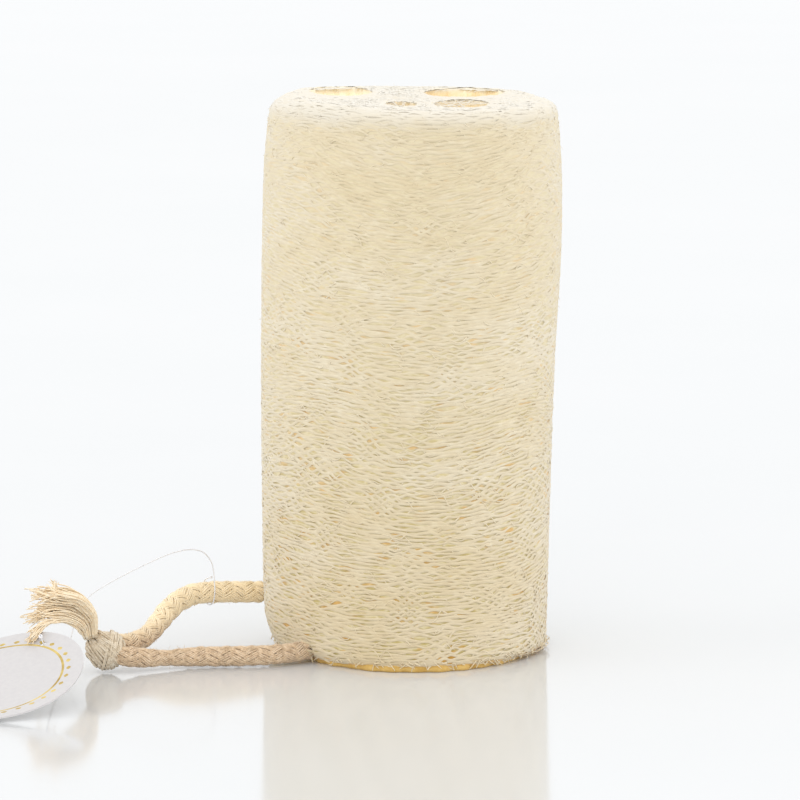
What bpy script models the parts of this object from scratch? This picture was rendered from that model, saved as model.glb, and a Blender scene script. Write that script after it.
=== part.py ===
"""A natural loofah sponge with a braided cotton hanging loop and a round paper tag on a nylon thread.

The sponge stands on its cut base, with the origin at the middle of that base, +Z up and -Y to the front.
Lengths are in metres. Routes and centres are written in millimetres and scaled by MM.
"""

import math

import bmesh
import bpy
import numpy as np
from mathutils import Matrix, Vector, noise

MM = 0.001
CURVE_SAMPLES = 16
SHARP_ANGLE = math.radians(50)
WELD = 0.01 * MM

# Sponge: one piece of dried gourd, cut square at both ends
SPONGE_HEIGHT = 150 * MM
HALF_WIDTH = 40.4 * MM
HALF_DEPTH = 35.6 * MM
LOBE_COUNT = 3
LOBE_DEPTH = 0.022
LOBE_ANGLE = math.radians(-65)
LEAN = 2.2 * MM
BASE_TAPER = 0.055
TOP_TAPER = 0.022

# Raised net: wavy ridges round the sponge that meet and part, with hollows between them
COLUMNS = 66
WAVES = 11
RIDGES = 23
NET_BOTTOM = 6.2 * MM
NET_TOP = 143.8 * MM
WAVE_HEIGHT = 2.3 * MM
WAVE_DRIFT = 2.4
HOLLOW_DEPTH = 2.3 * MM
RIDGE_WANDER = 1.0 * MM
RIDGE_ROUGHNESS = 0.45 * MM
END_RIDGES = 1.5
LEAST_HOLLOW = 0.12
CLOSED_SHARE = 0.1

# Noise behind the net: how fast it changes round the sponge, and from one ridge to the next
DRIFT_NOISE = (1.4, 0.21)
WANDER_NOISE = (2.2, 0.37)
ROUGH_NOISE = (9.0, 1.7)

# Rounded rims, as height from the cut face and inset from the side
RIM = [(0.0, 3.6 * MM), (0.9 * MM, 1.5 * MM), (3.0 * MM, 0.35 * MM)]

# Seed tubes that run through the sponge: centre, half sizes and turn
SEED_TUBES = {
    "left": ((-18.6, 10.0), (7.2, 13.0), -14),
    "back_right": ((13.0, 15.0), (11.2, 8.2), -28),
    "front_right": ((13.0, -13.5), (7.6, 8.6), 0),
}
TUBE_SIDES = 32
TUBE_RIBS = 8
RIB_HEIGHT = 0.45
MOUTH_FLARE = 1.2
MOUTH_DEPTH = 2.5 * MM
PIT_CENTRE = (-3.4, -14.0)
PIT_HALF = (4.2, 5.6)
PIT_DEPTH = 18 * MM
PIT_TAPER = 1.2
CUT_MARGIN = 1 * MM

# Rope: cotton braid, from the knot under the front rim, up a seed tube, out through the wall and back
ROPE_DIAMETER = 5.2 * MM
ROPE_STEP = 6.2 * MM
ROPE_CLEARANCE = 0.45 * MM
ROPE_SLOT_CLEARANCE = 0.36 * MM
ROPE_SLOT_DROP = 2.6 * MM
CUTTER_STEP = 3.7 * MM
ROPE_ROUTE = [
    (-76.7, -40.0, 4.8),
    (-70.2, -36.4, 3.5),
    (-63.6, -33.2, 2.95),
    (-56.0, -31.2, 2.9),
    (-48.4, -30.6, 2.9),
    (-41.0, -30.0, 2.95),
    (-34.0, -27.6, 3.0),
    (-27.8, -23.0, 3.1),
    (-22.4, -16.6, 3.4),
    (-18.8, -9.0, 4.0),
    (-17.3, -1.0, 5.6),
    (-18.0, 7.0, 8.0),
    (-21.6, 13.4, 10.6),
    (-27.6, 16.0, 12.3),
    (-34.0, 14.8, 12.9),
    (-40.2, 12.1, 12.9),
    (-46.6, 9.2, 13.4),
    (-52.6, 6.1, 13.9),
    (-58.2, 2.8, 13.9),
    (-62.2, -1.6, 12.9),
    (-65.4, -8.0, 10.9),
    (-67.8, -15.0, 8.8),
    (-70.2, -22.0, 7.1),
    (-73.8, -28.4, 6.4),
    (-78.2, -33.4, 6.6),
]
SLOT_POINTS = slice(5, 11)
HIDDEN_POINTS = slice(5, 17)

# Knot and frayed end
KNOT_CENTRE = (-81.0, -38.0, 6.05)
KNOT_RADIUS = 5.55 * MM
KNOT_WRAPS = 3
KNOT_RELIEF = 0.38 * MM
KNOT_AXIS = (0.72, 0.18, 0.67)
KNOT_SEGMENTS = (24, 14)
SEAT_GAP = 0.3 * MM
TASSEL_CORE = ((-90.0, -43.0, 15.0), (6.6, 5.4, 5.2))
CORE_SEGMENTS = (16, 10)
YARN_ROWS = 4
YARNS_PER_ROW = 6
YARN_RADIUS = 1.0 * MM
YARN_TIP = 0.42
YARN_STEP = 4.2 * MM
YARN_WOBBLE = 1.5
# Points along a yarn in mm: place in the lowest row, shift from that row to the top one, sideways spread
YARN_POINTS = [
    ((-84.0, -40.5, 8.6), (0.6, 0.0, 1.2), 3.4),
    ((-86.9, -42.0, 10.6), (0.4, 0.0, 9.2), 9.0),
    ((-92.8, -44.0, 12.0), (-0.4, 0.0, 10.4), 13.0),
    ((-100.2, -46.6, 12.4), (0.6, 0.0, 8.6), 18.0),
]

# Nylon thread, from its knot on the tag, under the frayed end and over to the rope
THREAD_DIAMETER = 0.6 * MM
THREAD_STEP = 1.8 * MM
THREAD_KNOT_RADIUS = 1.0 * MM
THREAD_ROUTE = [
    (-96.7, -67.5, 14.9),
    (-96.2, -66.9, 13.4),
    (-95.6, -66.1, 11.6),
    (-95.0, -63.8, 8.6),
    (-94.2, -59.0, 5.8),
    (-93.0, -51.8, 3.9),
    (-91.9, -43.6, 3.4),
    (-91.2, -35.8, 4.8),
    (-90.4, -29.0, 8.2),
    (-89.0, -23.6, 12.8),
    (-86.2, -19.4, 16.9),
    (-81.4, -15.4, 19.7),
    (-75.6, -11.0, 22.2),
    (-70.0, -7.4, 24.4),
    (-64.6, -4.0, 26.2),
    (-59.8, -1.4, 26.9),
    (-56.0, 0.2, 26.0),
    (-53.8, 1.1, 23.4),
    (-53.1, 1.9, 20.6),
    (-52.8, 2.3, 17.4),
    (-52.7, 1.9, 14.4),
    (-53.2, 2.8, 11.6),
    (-54.4, 5.1, 10.6),
    (-55.6, 7.3, 11.6),
    (-56.1, 8.2, 14.1),
    (-55.8, 7.4, 16.6),
    (-54.8, 5.6, 17.8),
    (-53.8, 3.9, 18.4),
]
THREAD_KNOTS = [THREAD_ROUTE[0], (-53.3, 3.2, 18.7)]

# Paper tag: a round card that lies on its front left edge and curls up towards the thread
TAG_DIAMETER = 54 * MM
TAG_THICKNESS = 0.6 * MM
TAG_CENTRE = (-111.8, -83.0)
TAG_RISE = 15.4 * MM
TAG_RISE_ANGLE = 0.80
TAG_LIFT = 0.1 * MM
TAG_STRIPS = 14
TAG_SHEET = 1.06
TAG_SIDES = 56
TAG_HOLE_RADIUS = 0.7 * MM
TAG_HOLE_SIDES = 16
PUNCH_DEPTH = 100 * MM
TAG_HOLE_INSET = 4.4 * MM

# Finishes: base colour, roughness
FINISHES = {
    "loofah_sponge": ((0.86, 0.76, 0.55), 0.85),
    "rope_loop": ((0.72, 0.56, 0.38), 0.9),
    "rope_knot": ((0.68, 0.52, 0.36), 0.9),
    "rope_tassel": ((0.74, 0.57, 0.38), 0.9),
    "tag_thread": ((0.85, 0.85, 0.85), 0.3),
    "paper_tag": ((0.9, 0.9, 0.88), 0.6),
}


def start_clean():
    """Empties the scene and makes the collection for the finished parts."""
    for item in list(bpy.data.objects):
        bpy.data.objects.remove(item, do_unlink=True)
    collection = bpy.data.collections.new("loofah_sponge_with_loop")
    bpy.context.scene.collection.children.link(collection)
    return collection


def link_only(item, collection):
    for other in list(item.users_collection):
        other.objects.unlink(item)
    collection.objects.link(item)


def finish_part(item):
    """Gives a part its own material and smooth shading with sharp edges kept."""
    colour, roughness = FINISHES[item.name]
    material = bpy.data.materials.new(item.name + "_material")
    material.use_nodes = True
    shader = material.node_tree.nodes["Principled BSDF"]
    shader.inputs["Base Color"].default_value = (*colour, 1.0)
    shader.inputs["Roughness"].default_value = roughness
    shader.inputs["Metallic"].default_value = 0.0
    item.data.materials.clear()
    item.data.materials.append(material)
    if item.type == "MESH":
        item.data.shade_smooth()
        item.data.set_sharp_from_angle(angle=SHARP_ANGLE)
    link_only(item, PARTS)
    return item


def new_object(name, mesh):
    item = bpy.data.objects.new(name, mesh)
    bpy.context.scene.collection.objects.link(item)
    return item


def mesh_from_rings(name, rings):
    """A closed body lofted through rings of alike point counts, lowest first, counterclockwise from above."""
    count = len(rings[0])
    shape = bmesh.new()
    rows = [[shape.verts.new(point) for point in ring] for ring in rings]
    for low, high in zip(rows, rows[1:]):
        for i in range(count):
            j = (i + 1) % count
            shape.faces.new((low[i], low[j], high[j], high[i]))
    shape.faces.new(list(reversed(rows[0])))
    shape.faces.new(rows[-1])
    mesh = bpy.data.meshes.new(name)
    shape.to_mesh(mesh)
    shape.free()
    return new_object(name, mesh)


def combine(target, other, operation):
    """Applies one Boolean of other on target, then removes other."""
    modifier = target.modifiers.new(operation.lower(), "BOOLEAN")
    modifier.operation = operation
    modifier.object = other
    modifier.solver = "EXACT"
    graph = bpy.context.evaluated_depsgraph_get()
    mesh = bpy.data.meshes.new_from_object(target.evaluated_get(graph))
    target.modifiers.clear()
    target.data = mesh
    bpy.data.objects.remove(other, do_unlink=True)
    return target


def keep_largest(item):
    """Fills the hollows that a union seals and drops loose scraps: only the largest shell stays."""
    shape = bmesh.new()
    shape.from_mesh(item.data)
    shells = []
    left = set(shape.faces)
    while left:
        stack = [left.pop()]
        shell = set(stack)
        while stack:
            for edge in stack.pop().edges:
                for face in edge.link_faces:
                    if face in left:
                        left.remove(face)
                        shell.add(face)
                        stack.append(face)
        shells.append(shell)
    largest = max(shells, key=lambda shell: sum(face.calc_area() for face in shell))
    spare = [face for face in shape.faces if face not in largest]
    bmesh.ops.delete(shape, geom=spare, context="FACES")
    shape.to_mesh(item.data)
    shape.free()


def smooth_path(route, step):
    """Points at even steps along a Catmull-Rom curve through a route in millimetres."""
    knots = np.array(route, float) * MM
    padded = np.vstack([2 * knots[0] - knots[1], knots, 2 * knots[-1] - knots[-2]])
    dense = []
    for a, b, c, d in zip(padded, padded[1:], padded[2:], padded[3:]):
        for t in np.linspace(0, 1, CURVE_SAMPLES, endpoint=False):
            ahead = 2 * b + (c - a) * t
            bend = (2 * a - 5 * b + 4 * c - d) * t**2 + (3 * b - a - 3 * c + d) * t**3
            dense.append((ahead + bend) / 2)
    dense = np.array(dense + [knots[-1]])
    run = np.concatenate([[0], np.cumsum(np.linalg.norm(np.diff(dense, axis=0), axis=1))])
    at = np.linspace(0, run[-1], max(2, round(run[-1] / step) + 1))
    return np.stack([np.interp(at, run, dense[:, i]) for i in range(3)], axis=1)


def tube_curve(name, points, radius, resolution=2):
    """A round tube with filled caps along a polyline."""
    data = bpy.data.curves.new(name, "CURVE")
    data.dimensions = "3D"
    data.bevel_depth = radius
    data.bevel_resolution = resolution
    data.use_fill_caps = True
    spline = data.splines.new("POLY")
    spline.points.add(len(points) - 1)
    for target, point in zip(spline.points, points):
        target.co = (*point, 1.0)
    item = bpy.data.objects.new(name, data)
    bpy.context.scene.collection.objects.link(item)
    return item


def as_mesh(item):
    """Turns a curve object into a mesh object of the same name, with its caps welded."""
    graph = bpy.context.evaluated_depsgraph_get()
    mesh = bpy.data.meshes.new_from_object(item.evaluated_get(graph))
    shape = bmesh.new()
    shape.from_mesh(mesh)
    bmesh.ops.remove_doubles(shape, verts=shape.verts, dist=WELD)
    bmesh.ops.recalc_face_normals(shape, faces=shape.faces)
    shape.to_mesh(mesh)
    shape.free()
    name = item.name
    matrix = item.matrix_world.copy()
    bpy.data.objects.remove(item, do_unlink=True)
    solid = new_object(name, mesh)
    solid.matrix_world = matrix
    return solid


def sponge_outline(theta, height):
    """Radius vectors of the sponge's side at one height, before the net's relief."""
    share = height / SPONGE_HEIGHT
    lobes = 1 + LOBE_DEPTH * math.cos(LOBE_COUNT * (theta - LOBE_ANGLE))
    taper = 1 - BASE_TAPER * (1 - min(max(share, 0), 1)) ** 1.5 - TOP_TAPER * share**6
    x = HALF_WIDTH * lobes * taper * math.cos(theta)
    y = HALF_DEPTH * lobes * taper * math.sin(theta)
    return Vector((x, y))


def side_point(theta, height, inset):
    side = sponge_outline(theta, height)
    side -= side.normalized() * inset
    return Vector((side.x + LEAN * (height / SPONGE_HEIGHT) ** 2, side.y, height))


def ridge_noise(steps, index, theta):
    around, between = steps
    return noise.noise((around * math.cos(theta), around * math.sin(theta), between * index))


def ridge_height(index, theta):
    """Height of one ridge of the net: neighbours wave against each other, so they meet and part."""
    spacing = (NET_TOP - NET_BOTTOM) / (RIDGES - 1)
    slip = WAVE_DRIFT * ridge_noise(DRIFT_NOISE, index, theta)
    wave = math.sin(WAVES * theta + index * math.pi + slip)
    drift = ridge_noise(WANDER_NOISE, index, theta)
    ends = min(1.0, index / END_RIDGES, (RIDGES - 1 - index) / END_RIDGES)
    return NET_BOTTOM + index * spacing + ends * (WAVE_HEIGHT * wave + RIDGE_WANDER * drift)


def net_rings():
    """Rings for the raised net: a ridge, the hollows above it, the next ridge and so on."""
    spacing = (NET_TOP - NET_BOTTOM) / (RIDGES - 1)
    angles = [2 * math.pi * i / COLUMNS for i in range(COLUMNS)]
    rings = []
    for index in range(RIDGES):
        ridge = []
        hollow = []
        for theta in angles:
            low = ridge_height(index, theta)
            rough = RIDGE_ROUGHNESS * ridge_noise(ROUGH_NOISE, index, theta)
            ridge.append(side_point(theta, low, RIDGE_ROUGHNESS + rough))
            if index < RIDGES - 1:
                high = ridge_height(index + 1, theta)
                open_share = (high - low) / spacing - CLOSED_SHARE
                deep = HOLLOW_DEPTH * min(1.0, max(LEAST_HOLLOW, open_share))
                hollow.append(side_point(theta, (low + high) / 2, RIDGE_ROUGHNESS + deep))
        rings.append(ridge)
        if hollow:
            rings.append(hollow)
    return rings


def rim_rings(from_top):
    """Rings of one rounded rim, lowest first."""
    angles = [2 * math.pi * i / COLUMNS for i in range(COLUMNS)]
    rings = []
    for away, inset in RIM:
        height = SPONGE_HEIGHT - away if from_top else away
        rings.append([side_point(theta, height, inset) for theta in angles])
    return rings[::-1] if from_top else rings


def tube_outline(centre, half, turn, grow):
    """The ribbed outline of a seed tube, in metres."""
    points = []
    for i in range(TUBE_SIDES):
        angle = 2 * math.pi * i / TUBE_SIDES
        rib = RIB_HEIGHT * math.cos(TUBE_RIBS * angle)
        x = (half[0] + grow + rib) * math.cos(angle)
        y = (half[1] + grow + rib) * math.sin(angle)
        swing = math.radians(turn)
        points.append(
            (
                (centre[0] + x * math.cos(swing) - y * math.sin(swing)) * MM,
                (centre[1] + x * math.sin(swing) + y * math.cos(swing)) * MM,
            )
        )
    return points


def seed_tube_cutter(name, centre, half, turn, bottom):
    """A ribbed prism that opens out a little at each mouth it reaches."""
    levels = [(SPONGE_HEIGHT - MOUTH_DEPTH, 0.0), (SPONGE_HEIGHT + CUT_MARGIN, MOUTH_FLARE)]
    if bottom < 0:
        levels = [(bottom, MOUTH_FLARE), (MOUTH_DEPTH, 0.0)] + levels
    else:
        levels = [(bottom, -PIT_TAPER)] + levels
    rings = []
    for height, grow in levels:
        rings.append([Vector((x, y, height)) for x, y in tube_outline(centre, half, turn, grow)])
    return mesh_from_rings(name, rings)


def fat_rope(name, points, grow, drop=0.0):
    """A tube along a stretch of the rope's route, thicker than the rope, to clear its way."""
    curve = tube_curve(name, smooth_path(points, CUTTER_STEP), ROPE_DIAMETER / 2 + grow)
    solid = as_mesh(curve)
    solid.data.transform(Matrix.Translation((0, 0, -drop)))
    return solid


def make_sponge():
    rings = rim_rings(False) + net_rings() + rim_rings(True)
    points = np.array([point[:] for ring in rings for point in ring])
    middle = (points.min(0) + points.max(0)) / 2
    shift = Vector((middle[0], middle[1], 0))
    rings = [[point - shift for point in ring] for ring in rings]
    sponge = mesh_from_rings("loofah_sponge", rings)
    for name, (centre, half, turn) in SEED_TUBES.items():
        combine(sponge, seed_tube_cutter(name + "_tube", centre, half, turn, -CUT_MARGIN), "DIFFERENCE")
    pit_bottom = SPONGE_HEIGHT - PIT_DEPTH
    combine(sponge, seed_tube_cutter("pit", PIT_CENTRE, PIT_HALF, 0, pit_bottom), "DIFFERENCE")
    combine(sponge, fat_rope("rope_way", ROPE_ROUTE[HIDDEN_POINTS], ROPE_CLEARANCE), "DIFFERENCE")
    slot = fat_rope("rope_slot", ROPE_ROUTE[SLOT_POINTS], ROPE_SLOT_CLEARANCE, ROPE_SLOT_DROP)
    combine(sponge, slot, "DIFFERENCE")
    return finish_part(sponge)


def make_rope():
    rope = tube_curve("rope_loop", smooth_path(ROPE_ROUTE, ROPE_STEP), ROPE_DIAMETER / 2)
    return finish_part(rope)


def knot_ball(name, grow):
    """A ball with slanting wraps standing out of it."""
    around, rings = KNOT_SEGMENTS
    bpy.ops.mesh.primitive_uv_sphere_add(segments=around, ring_count=rings, radius=1.0)
    ball = bpy.context.object
    ball.name = name
    axis = Vector(KNOT_AXIS).normalized()
    side = axis.orthogonal().normalized()
    front = axis.cross(side)
    for vertex in ball.data.vertices:
        ray = vertex.co.normalized()
        around = math.atan2(ray.dot(front), ray.dot(side))
        along = math.acos(max(-1.0, min(1.0, ray.dot(axis))))
        wrap = math.cos(2 * KNOT_WRAPS * along + around) * math.sin(along)
        vertex.co = Vector(KNOT_CENTRE) * MM + ray * (KNOT_RADIUS + KNOT_RELIEF * wrap + grow)
    return ball


def make_knot():
    knot = knot_ball("rope_knot", 0.0)
    for name, points in (("near_end", ROPE_ROUTE[:4]), ("far_end", ROPE_ROUTE[:-5:-1])):
        seat = Vector(points[0]) - Vector(points[1])
        inner = Vector(points[0]) + seat.normalized() * SEAT_GAP / MM
        socket = fat_rope(name, [tuple(inner)] + points[1:], SEAT_GAP)
        combine(knot, socket, "DIFFERENCE")
    return finish_part(knot)


def yarn_route(row, place):
    """One thick yarn of the frayed end: rows from the top one to the lowest, places from back to front."""
    high = 1 - row / (YARN_ROWS - 1)
    sideways = place / (YARNS_PER_ROW - 1) - 0.5
    points = []
    for middle, climb, spread in YARN_POINTS:
        points.append(Vector(middle) + Vector(climb) * high + Vector((0, spread * sideways, 0)))
    wobble = YARN_WOBBLE * noise.noise((YARNS_PER_ROW * row + 0.5, place + 0.5, 0.5))
    points[-1] += Vector((wobble, 0, wobble))
    return points


def yarn(name, route, radius):
    """A tapered yarn with six sides, closed at both ends."""
    path = smooth_path([tuple(point) for point in route], YARN_STEP)
    curve = tube_curve(name, path, radius, 1)
    spline = curve.data.splines[0]
    last = len(spline.points) - 1
    for i, point in enumerate(spline.points):
        point.radius = 1 - (1 - YARN_TIP) * i / last
    return as_mesh(curve)


def make_tassel():
    centre, half = TASSEL_CORE
    around, rings = CORE_SEGMENTS
    bpy.ops.mesh.primitive_uv_sphere_add(segments=around, ring_count=rings, radius=1.0)
    tassel = bpy.context.object
    tassel.name = "rope_tassel"
    for vertex in tassel.data.vertices:
        vertex.co = Vector((c + h * v for c, h, v in zip(centre, half, vertex.co))) * MM
    yarns = bpy.data.collections.new("yarns")
    bpy.context.scene.collection.children.link(yarns)
    for row in range(YARN_ROWS):
        for place in range(YARNS_PER_ROW):
            strand = yarn(f"yarn_{row}_{place}", yarn_route(row, place), YARN_RADIUS)
            link_only(strand, yarns)
    modifier = tassel.modifiers.new("yarns", "BOOLEAN")
    modifier.operation = "UNION"
    modifier.operand_type = "COLLECTION"
    modifier.collection = yarns
    modifier.solver = "EXACT"
    graph = bpy.context.evaluated_depsgraph_get()
    tassel_mesh = bpy.data.meshes.new_from_object(tassel.evaluated_get(graph))
    tassel.modifiers.clear()
    tassel.data = tassel_mesh
    for strand in list(yarns.objects):
        bpy.data.objects.remove(strand, do_unlink=True)
    bpy.data.collections.remove(yarns)
    combine(tassel, knot_ball("knot_seat", SEAT_GAP), "DIFFERENCE")
    keep_largest(tassel)
    return finish_part(tassel)


def make_thread():
    path = smooth_path(THREAD_ROUTE, THREAD_STEP)
    thread = as_mesh(tube_curve("tag_thread", path, THREAD_DIAMETER / 2))
    for place in THREAD_KNOTS:
        bpy.ops.mesh.primitive_ico_sphere_add(
            subdivisions=2, radius=THREAD_KNOT_RADIUS, location=Vector(place) * MM
        )
        combine(thread, bpy.context.object, "UNION")
    return finish_part(thread)


def make_tag():
    """The card starts as strips across its curl and is cut round, with a hole for the thread."""
    sheet = TAG_DIAMETER * TAG_SHEET
    bpy.ops.mesh.primitive_grid_add(x_subdivisions=TAG_STRIPS, y_subdivisions=1, size=sheet)
    tag = bpy.context.object
    tag.name = "paper_tag"
    for vertex in tag.data.vertices:
        share = (vertex.co.x + TAG_DIAMETER / 2) / TAG_DIAMETER
        vertex.co.z = TAG_LIFT + TAG_RISE * share * abs(share)
    thick = tag.modifiers.new("thick", "SOLIDIFY")
    thick.thickness = TAG_THICKNESS
    thick.offset = 1
    bpy.ops.mesh.primitive_cylinder_add(vertices=TAG_SIDES, radius=TAG_DIAMETER / 2, depth=PUNCH_DEPTH)
    combine(tag, bpy.context.object, "INTERSECT")
    hole_reach = TAG_DIAMETER / 2 - TAG_HOLE_INSET
    bpy.ops.mesh.primitive_cylinder_add(
        vertices=TAG_HOLE_SIDES, radius=TAG_HOLE_RADIUS, depth=PUNCH_DEPTH, location=(hole_reach, 0, 0)
    )
    combine(tag, bpy.context.object, "DIFFERENCE")
    tag.rotation_euler.z = TAG_RISE_ANGLE
    tag.location = Vector((*TAG_CENTRE, 0)) * MM
    return finish_part(tag)


PARTS = start_clean()
make_sponge()
make_rope()
make_knot()
make_tassel()
make_thread()
make_tag()
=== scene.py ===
import math

import bmesh
import bpy
import numpy as np
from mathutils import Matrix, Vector


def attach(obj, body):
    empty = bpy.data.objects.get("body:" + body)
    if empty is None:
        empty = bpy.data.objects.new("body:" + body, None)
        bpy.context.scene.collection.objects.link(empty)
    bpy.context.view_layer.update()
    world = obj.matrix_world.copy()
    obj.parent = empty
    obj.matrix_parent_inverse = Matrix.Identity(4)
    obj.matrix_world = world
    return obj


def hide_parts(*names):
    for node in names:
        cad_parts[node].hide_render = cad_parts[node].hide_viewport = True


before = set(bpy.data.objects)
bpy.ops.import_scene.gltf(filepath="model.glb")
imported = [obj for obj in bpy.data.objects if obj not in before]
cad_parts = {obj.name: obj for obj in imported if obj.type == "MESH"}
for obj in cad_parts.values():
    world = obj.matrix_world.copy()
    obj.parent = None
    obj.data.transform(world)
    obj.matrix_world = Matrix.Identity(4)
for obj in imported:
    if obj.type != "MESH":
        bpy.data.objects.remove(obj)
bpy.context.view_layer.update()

MM = 0.001
TAU = 2 * math.pi
TINY = 1e-12
FIBRE_SHARP = math.radians(65)

# Camera: a long lens, a little above the object
CAMERA_PLACE = (-2.4 * MM, -2000 * MM, 364 * MM)
CAMERA_AIM = (-2.4 * MM, 0.0, 69 * MM)
CAMERA_LENS = 336.6
CAMERA_SENSOR = 36.0
CAMERA_SHIFT = -5 / 800
CAMERA_NEAR = 0.1
CAMERA_FAR = 30.0

# Sponge, as in the solids
SPONGE_HEIGHT = 150 * MM
HALF_WIDTH = 40.4 * MM
HALF_DEPTH = 35.6 * MM
LOBE_COUNT = 3
LOBE_DEPTH = 0.022
LOBE_ANGLE = math.radians(-65)
LEAN = 2.2 * MM
BASE_TAPER = 0.055
TOP_TAPER = 0.022
RIM_RADIUS = 3.6 * MM
CAVITIES = [
    # centre, half sizes, turn in degrees, bottom
    ((-18.6, 10.0), (7.2, 13.0), -14, 0.0),
    ((13.0, 15.0), (11.2, 8.2), -28, 0.0),
    ((13.0, -13.5), (7.6, 8.6), 0, 0.0),
    ((-3.4, -14.0), (4.2, 5.6), 0, 132.0),
]

# Sponge, in the scene alone: wider mouths, and how its sides differ from the plain outline
MOUTHS = [
    ((-18.4, 11.8), (8.3, 12.7), -9, 0.0),
    ((15.0, 15.6), (10.8, 12.0), -12, 0.0),
    ((14.0, -12.8), (7.4, 9.6), 0, 0.0),
    ((-2.0, -14.0), (4.2, 6.0), 0, 132.0),
]
TOP_EDGE_IN = 1.3 * MM
MOUTH_START = 143
MOUTH_RISE = 6.5
MOUTH_POWER = 1.4
RIGHT_OUT = 0.8 * MM
BELLY_OUT = 1.0 * MM
BELLY_HEIGHT = 112 * MM
BELLY_SPREAD = 26 * MM
CORNER_IN = 3.4 * MM
CORNER_HEIGHT = 14 * MM
TOP_IN = 1.2 * MM
TOP_START = 126 * MM
TOP_SPAN = 24 * MM
FOOT_BULGE = 6.2 * MM
FOOT_HEIGHT = 60 * MM
LEFT_RISE = 1.3 * MM
LEFT_REACH = 34 * MM
SHOULDER_START = 28 * MM
SHOULDER_SPAN = 7 * MM
SHOULDER_FALLS = (0.7 * MM, 1.2 * MM)

ROPE_DIAMETER = 5.2 * MM
ROPE_ROUTE = [
    (-76.7, -40.0, 4.8),
    (-70.2, -36.4, 3.5),
    (-63.6, -33.2, 2.95),
    (-56.0, -31.2, 2.9),
    (-48.4, -30.6, 2.9),
    (-41.0, -30.0, 2.95),
    (-34.0, -27.6, 3.0),
    (-27.8, -23.0, 3.1),
    (-22.4, -16.6, 3.4),
    (-18.8, -9.0, 4.0),
    (-17.3, -1.0, 5.6),
    (-18.0, 7.0, 8.0),
    (-21.6, 13.4, 10.6),
    (-27.6, 16.0, 12.3),
    (-34.0, 14.8, 12.9),
    (-40.2, 12.1, 12.9),
    (-46.6, 9.2, 13.4),
    (-52.6, 6.1, 13.9),
    (-58.2, 2.8, 13.9),
    (-62.2, -1.6, 12.9),
    (-65.4, -8.0, 10.9),
    (-67.8, -15.0, 8.8),
    (-70.2, -22.0, 7.1),
    (-73.8, -28.4, 6.4),
    (-78.2, -33.4, 6.6),
]
ROPE_HOLE = 15
ROPE_ZONE_TOP = 20 * MM
ROPE_IN_KNOT = [(-81.6, -36.2, 6.6), (-80.8, -39.2, 5.8)]

KNOT_CENTRE = (-81.0, -38.0, 6.05)

THREAD_DIAMETER = 0.36 * MM
THREAD_ROUTE = [
    (-96.7, -67.5, 14.9),
    (-96.2, -66.9, 13.4),
    (-95.6, -66.1, 11.6),
    (-95.0, -63.8, 8.6),
    (-94.2, -59.0, 5.8),
    (-93.0, -51.8, 3.9),
    (-91.9, -43.6, 3.4),
    (-91.2, -35.8, 4.8),
    (-90.4, -29.0, 8.2),
    (-89.0, -23.6, 12.8),
    (-86.2, -19.4, 16.9),
    (-81.4, -15.4, 19.7),
    (-75.6, -11.0, 22.2),
    (-70.0, -7.4, 24.4),
    (-64.6, -4.0, 26.2),
    (-59.8, -1.4, 26.9),
    (-56.0, 0.2, 26.0),
    (-53.8, 1.1, 23.4),
    (-53.1, 1.9, 20.6),
    (-52.8, 2.3, 17.4),
    (-52.7, 1.9, 14.4),
    (-53.2, 2.8, 11.6),
    (-54.4, 5.1, 10.6),
    (-55.6, 7.3, 11.6),
    (-56.1, 8.2, 14.1),
    (-55.8, 7.4, 16.6),
    (-54.8, 5.6, 17.8),
    (-53.8, 3.9, 18.4),
]

TAG_DIAMETER = 54 * MM
TAG_THICKNESS = 0.45 * MM
TAG_CENTRE = (-111.8, -83.0)
TAG_RISE = 14.6 * MM
TAG_RISE_ANGLE = 0.80
TAG_LIFT = 0.1 * MM
TAG_HOLE_RADIUS = 0.9 * MM
TAG_HOLE_INSET = 4.4 * MM


# Shapes

def mesh_piece(name, shape, mat, node, sharp=None):
    """A piece of points and four-cornered faces in a node's place; a last corner of -1 makes a triangle."""
    points = np.asarray(shape[0], np.float32)
    quads = np.asarray(shape[1], np.int32)
    sizes = np.where(quads[:, 3] < 0, 3, 4).astype(np.int32)
    corners = quads.ravel()
    corners = corners[corners >= 0]
    mesh = bpy.data.meshes.new(name)
    mesh.vertices.add(len(points))
    mesh.vertices.foreach_set("co", points.ravel())
    mesh.loops.add(len(corners))
    mesh.loops.foreach_set("vertex_index", corners)
    mesh.polygons.add(len(quads))
    starts = np.concatenate([[0], np.cumsum(sizes)[:-1]]).astype(np.int32)
    mesh.polygons.foreach_set("loop_start", starts)
    mesh.update(calc_edges=True)
    mesh.validate()
    mesh.shade_smooth()
    if sharp:
        mesh.set_sharp_from_angle(angle=sharp)
    mesh.materials.append(mat)
    item = bpy.data.objects.new(name, mesh)
    bpy.context.scene.collection.objects.link(item)
    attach(item, "root")
    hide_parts(node)
    return item


def sponge_piece(name, shape, mat, sharp=FIBRE_SHARP):
    mesh_piece(name, shape, mat, "loofah_sponge", sharp)


def unit(vectors):
    """The same directions at a length of 1."""
    return vectors / (np.linalg.norm(vectors, axis=-1, keepdims=True) + TINY)


def outward(turn, side, up):
    """Directions at each angle of a turn that goes from side towards up."""
    return np.cos(turn)[:, None] * side + np.sin(turn)[:, None] * up


def ring_faces(index, turned=False):
    """Faces between closed rings of points that follow each other."""
    a = index[..., :-1, :]
    d = index[..., 1:, :]
    b = np.roll(a, -1, axis=-1)
    c = np.roll(d, -1, axis=-1)
    corners = [a, d, c, b] if turned else [a, b, c, d]
    return np.stack(corners, axis=-1).reshape(-1, 4)


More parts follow.
